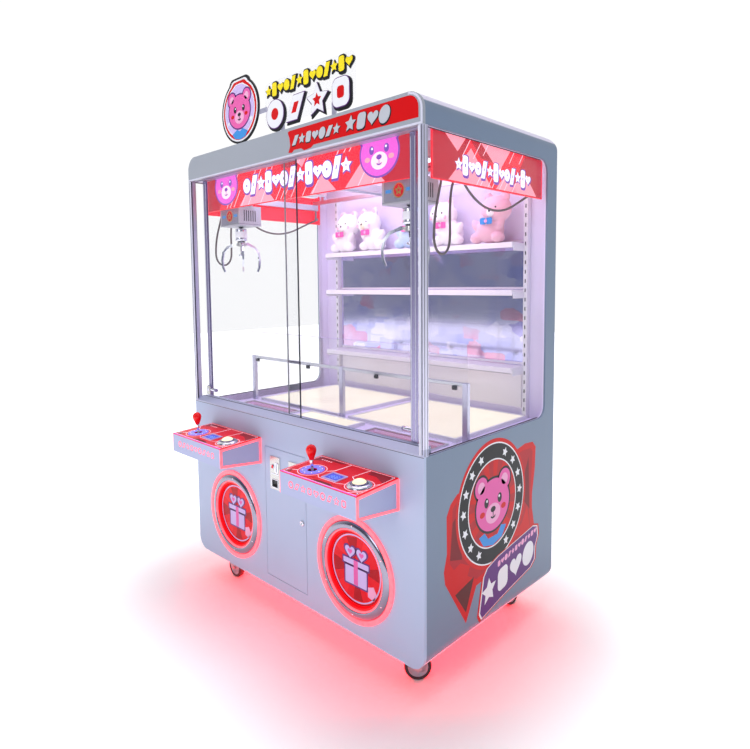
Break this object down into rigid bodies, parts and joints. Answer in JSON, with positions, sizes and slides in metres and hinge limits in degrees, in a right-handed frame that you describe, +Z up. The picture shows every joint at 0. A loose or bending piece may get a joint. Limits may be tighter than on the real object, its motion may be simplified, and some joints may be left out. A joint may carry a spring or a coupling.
{
  "type": "claw crane machine",
  "caption": "Claw crane prize cabinet with sliding glass doors, gantry-hung claws, joystick control boxes, round prize ports and a coin door.",
  "frame": {"origin": "centre of the whole assembly's footprint, on the floor", "axes": "+X to the right when facing the machine, +Y from the front to the rear, +Z up"},
  "size_m": [1.44, 1.076, 2.3],
  "materials": {
    "base_board": "dark painted board",
    "shell_side": "blue-grey satin paint on board, printed emblem on the right side",
    "shell_back": "blue-grey satin paint on board",
    "shell_front": "pale lilac-grey satin paint on board",
    "canopy": "light grey satin paint with a red applied plate",
    "frame_metal": "satin anodised extrusion",
    "stile_metal": "satin anodised extrusion with a plated lock",
    "pane": "clear tempered glass",
    "marquee": "back-lit red acrylic with pale stripes and shapes",
    "sign": null,
    "mirror": "silvered acrylic",
    "shelf": "white laminate with slotted uprights",
    "plush": "short-pile plush in pastel colours",
    "deck": "lilac laminate",
    "light_panel": "back-lit cream diffuser",
    "chute": "red moulded plastic",
    "port_ring": "polished chrome bezel",
    "flap": "dark red printed plastic",
    "fence": "clear acrylic on white posts",
    "box_shell": "grey-lilac moulding",
    "box_plate": "red printed overlay",
    "fittings": "blue disc, display and plated collar",
    "gimbal": "black moulding",
    "stick": "red gloss grip on a plated shaft",
    "button": "back-lit cream dome",
    "led": "pink-red diffuser over light-emitting strip",
    "coin_door": "pale lilac-grey satin paint",
    "coin_parts": "brushed stainless faceplates and a plated cam lock",
    "service": "dark moulded casings",
    "rail": "satin anodised extrusion",
    "bridge": "satin anodised extrusion with black trucks",
    "trolley": "grey moulded motor housing",
    "cord": "braided black line",
    "claw_body": "plated solenoid body",
    "prong": "polished steel prong",
    "cable": "dark sheathed cable",
    "caster_metal": "zinc-plated pressed steel",
    "caster_tyre": "dark rubber tread on a grey hub"
  },
  "bodies": {
    "cabinet": {"base_frame": "base_board", "left_side_panel": "shell_side", "right_side_panel": "shell_side", "back_panel": "shell_back", "header_canopy": "canopy", "front_panel": "shell_front", "door_frame": "frame_metal", "side_glass": "pane", "marquee_panels": "marquee", "roof_sign": "sign", "mirror_panel": "mirror", "display_shelves": "shelf", "plush_toys": "plush", "play_deck": "deck", "deck_light_panels": "light_panel", "prize_chutes": "chute", "prize_port_rings": "port_ring", "chute_fence": "fence", "control_boxes": "box_shell", "control_plates": "box_plate", "control_fittings": "fittings", "led_strips": "led", "service_units": "service", "gantry_rails": "rail", "festoon_cables": "cable", "rear_caster_forks": "caster_metal"},
    "door_left": {"glass_door_left": "pane", "door_stile_left": "stile_metal"},
    "flap_left": {"prize_flap_left": "flap"},
    "gimbal_left": {"joystick_gimbal_left": "gimbal"},
    "stick_left": {"joystick_left": "stick"},
    "push_button_left": {"button_left": "button"},
    "gantry_bridge_left": {"bridge_left": "bridge"},
    "gantry_trolley_left": {"trolley_left": "trolley", "hoist_cord_left": "cord"},
    "claw_left": {"claw_head_left": "claw_body"},
    "prong_left_1": {"claw_finger_left_1": "prong"},
    "prong_left_2": {"claw_finger_left_2": "prong"},
    "prong_left_3": {"claw_finger_left_3": "prong"},
    "door_right": {"glass_door_right": "pane", "door_stile_right": "stile_metal"},
    "flap_right": {"prize_flap_right": "flap"},
    "gimbal_right": {"joystick_gimbal_right": "gimbal"},
    "stick_right": {"joystick_right": "stick"},
    "push_button_right": {"button_right": "button"},
    "gantry_bridge_right": {"bridge_right": "bridge"},
    "gantry_trolley_right": {"trolley_right": "trolley", "hoist_cord_right": "cord"},
    "claw_right": {"claw_head_right": "claw_body"},
    "prong_right_1": {"claw_finger_right_1": "prong"},
    "prong_right_2": {"claw_finger_right_2": "prong"},
    "prong_right_3": {"claw_finger_right_3": "prong"},
    "coin_door": {"coin_door": "coin_door", "coin_door_fittings": "coin_parts"},
    "caster_left": {"caster_fork_left": "caster_metal"},
    "wheel_left": {"front_wheel_left": "caster_tyre"},
    "rolling_rear_left": {"rear_wheel_left": "caster_tyre"},
    "caster_right": {"caster_fork_right": "caster_metal"},
    "wheel_right": {"front_wheel_right": "caster_tyre"},
    "rolling_rear_right": {"rear_wheel_right": "caster_tyre"}
  },
  "joints": [
    {"name": "door_slide_left", "type": "slide", "parent": "cabinet", "child": "door_left", "axis": [1, 0, 0], "range_m": [0, 0.5]},
    {"name": "flap_hinge_left", "type": "hinge", "parent": "cabinet", "child": "flap_left", "pos_m": [-0.39, -0.328, 0.509], "axis": [1, 0, 0], "range_deg": [0, 55]},
    {"name": "stick_pitch_left", "type": "hinge", "parent": "cabinet", "child": "gimbal_left", "pos_m": [-0.477, -0.46276, 0.72608], "axis": [1, 0, 0], "range_deg": [-12, 12], "stiffness_Nm_per_rad": 0.6},
    {"name": "stick_roll_left", "type": "hinge", "parent": "gimbal_left", "child": "stick_left", "pos_m": [-0.477, -0.46276, 0.72608], "axis": [0, 0.9985, 0.0549], "range_deg": [-12, 12], "stiffness_Nm_per_rad": 0.6},
    {"name": "button_press_left", "type": "slide", "parent": "cabinet", "child": "push_button_left", "axis": [0, 0.0549, -0.9985], "range_m": [0, 0.004], "stiffness_N_per_m": 1500, "springref_m": -0.002},
    {"name": "bridge_travel_left", "type": "slide", "parent": "cabinet", "child": "gantry_bridge_left", "axis": [0, 1, 0], "range_m": [0, 0.44], "deforming": ["festoon_cables"]},
    {"name": "trolley_travel_left", "type": "slide", "parent": "gantry_bridge_left", "child": "gantry_trolley_left", "axis": [1, 0, 0], "range_m": [0, 0.4]},
    {"name": "claw_hoist_left", "type": "slide", "parent": "gantry_trolley_left", "child": "claw_left", "axis": [0, 0, -1], "range_m": [0, 0.58], "deforming": ["hoist_cord_left"]},
    {"name": "claw_close_left_1", "type": "hinge", "parent": "claw_left", "child": "prong_left_1", "pos_m": [-0.53, -0.154, 1.618], "axis": [-1, 0, 0], "range_deg": [0, 30], "stiffness_Nm_per_rad": 0.3, "springref_deg": -28.65},
    {"name": "claw_close_left_2", "type": "hinge", "parent": "claw_left", "child": "prong_left_2", "pos_m": [-0.55078, -0.19, 1.618], "axis": [0.5, -0.866, 0], "range_deg": [0, 30], "stiffness_Nm_per_rad": 0.3, "springref_deg": -28.65},
    {"name": "claw_close_left_3", "type": "hinge", "parent": "claw_left", "child": "prong_left_3", "pos_m": [-0.50921, -0.19, 1.618], "axis": [0.5, 0.866, 0], "range_deg": [0, 30], "stiffness_Nm_per_rad": 0.3, "springref_deg": -28.65},
    {"name": "door_slide_right", "type": "slide", "parent": "cabinet", "child": "door_right", "axis": [-1, 0, 0], "range_m": [0, 0.5]},
    {"name": "flap_hinge_right", "type": "hinge", "parent": "cabinet", "child": "flap_right", "pos_m": [0.39, -0.328, 0.509], "axis": [1, 0, 0], "range_deg": [0, 55]},
    {"name": "stick_pitch_right", "type": "hinge", "parent": "cabinet", "child": "gimbal_right", "pos_m": [0.313, -0.46276, 0.72608], "axis": [1, 0, 0], "range_deg": [-12, 12], "stiffness_Nm_per_rad": 0.6},
    {"name": "stick_roll_right", "type": "hinge", "parent": "gimbal_right", "child": "stick_right", "pos_m": [0.313, -0.46276, 0.72608], "axis": [0, 0.9985, 0.0549], "range_deg": [-12, 12], "stiffness_Nm_per_rad": 0.6},
    {"name": "button_press_right", "type": "slide", "parent": "cabinet", "child": "push_button_right", "axis": [0, 0.0549, -0.9985], "range_m": [0, 0.004], "stiffness_N_per_m": 1500, "springref_m": -0.002},
    {"name": "bridge_travel_right", "type": "slide", "parent": "cabinet", "child": "gantry_bridge_right", "axis": [0, 1, 0], "range_m": [0, 0.44], "deforming": ["festoon_cables"]},
    {"name": "trolley_travel_right", "type": "slide", "parent": "gantry_bridge_right", "child": "gantry_trolley_right", "axis": [-1, 0, 0], "range_m": [0, 0.4]},
    {"name": "claw_hoist_right", "type": "slide", "parent": "gantry_trolley_right", "child": "claw_right", "axis": [0, 0, -1], "range_m": [0, 0.58], "deforming": ["hoist_cord_right"]},
    {"name": "claw_close_right_1", "type": "hinge", "parent": "claw_right", "child": "prong_right_1", "pos_m": [0.53, -0.154, 1.618], "axis": [-1, 0, 0], "range_deg": [0, 30], "stiffness_Nm_per_rad": 0.3, "springref_deg": -28.65},
    {"name": "claw_close_right_2", "type": "hinge", "parent": "claw_right", "child": "prong_right_2", "pos_m": [0.50921, -0.19, 1.618], "axis": [0.5, -0.866, 0], "range_deg": [0, 30], "stiffness_Nm_per_rad": 0.3, "springref_deg": -28.65},
    {"name": "claw_close_right_3", "type": "hinge", "parent": "claw_right", "child": "prong_right_3", "pos_m": [0.55078, -0.19, 1.618], "axis": [0.5, 0.866, 0], "range_deg": [0, 30], "stiffness_Nm_per_rad": 0.3, "springref_deg": -28.65},
    {"name": "coin_door_hinge", "type": "hinge", "parent": "cabinet", "child": "coin_door", "pos_m": [-0.15, -0.338, 0.46], "axis": [0, 0, -1], "range_deg": [0, 90]},
    {"name": "caster_swivel_left", "type": "hinge", "parent": "cabinet", "child": "caster_left", "pos_m": [-0.57, -0.248, 0.113], "axis": [0, 0, 1], "continuous": true},
    {"name": "front_wheel_spin_left", "type": "hinge", "parent": "caster_left", "child": "wheel_left", "pos_m": [-0.535, -0.248, 0.05], "axis": [0, 1, 0], "continuous": true},
    {"name": "rear_wheel_spin_left", "type": "hinge", "parent": "cabinet", "child": "rolling_rear_left", "pos_m": [-0.575, 0.442, 0.05], "axis": [1, 0, 0], "continuous": true},
    {"name": "caster_swivel_right", "type": "hinge", "parent": "cabinet", "child": "caster_right", "pos_m": [0.57, -0.248, 0.113], "axis": [0, 0, 1], "continuous": true},
    {"name": "front_wheel_spin_right", "type": "hinge", "parent": "caster_right", "child": "wheel_right", "pos_m": [0.59475, -0.22325, 0.05], "axis": [0.7071, -0.7071, 0], "continuous": true},
    {"name": "rear_wheel_spin_right", "type": "hinge", "parent": "cabinet", "child": "rolling_rear_right", "pos_m": [0.575, 0.442, 0.05], "axis": [1, 0, 0], "continuous": true}
  ],
  "couplings": [
    {"joint": "claw_close_left_2", "follows": "claw_close_left_1", "ratio": 1},
    {"joint": "claw_close_left_3", "follows": "claw_close_left_1", "ratio": 1},
    {"joint": "claw_close_right_2", "follows": "claw_close_right_1", "ratio": 1},
    {"joint": "claw_close_right_3", "follows": "claw_close_right_1", "ratio": 1}
  ]
}
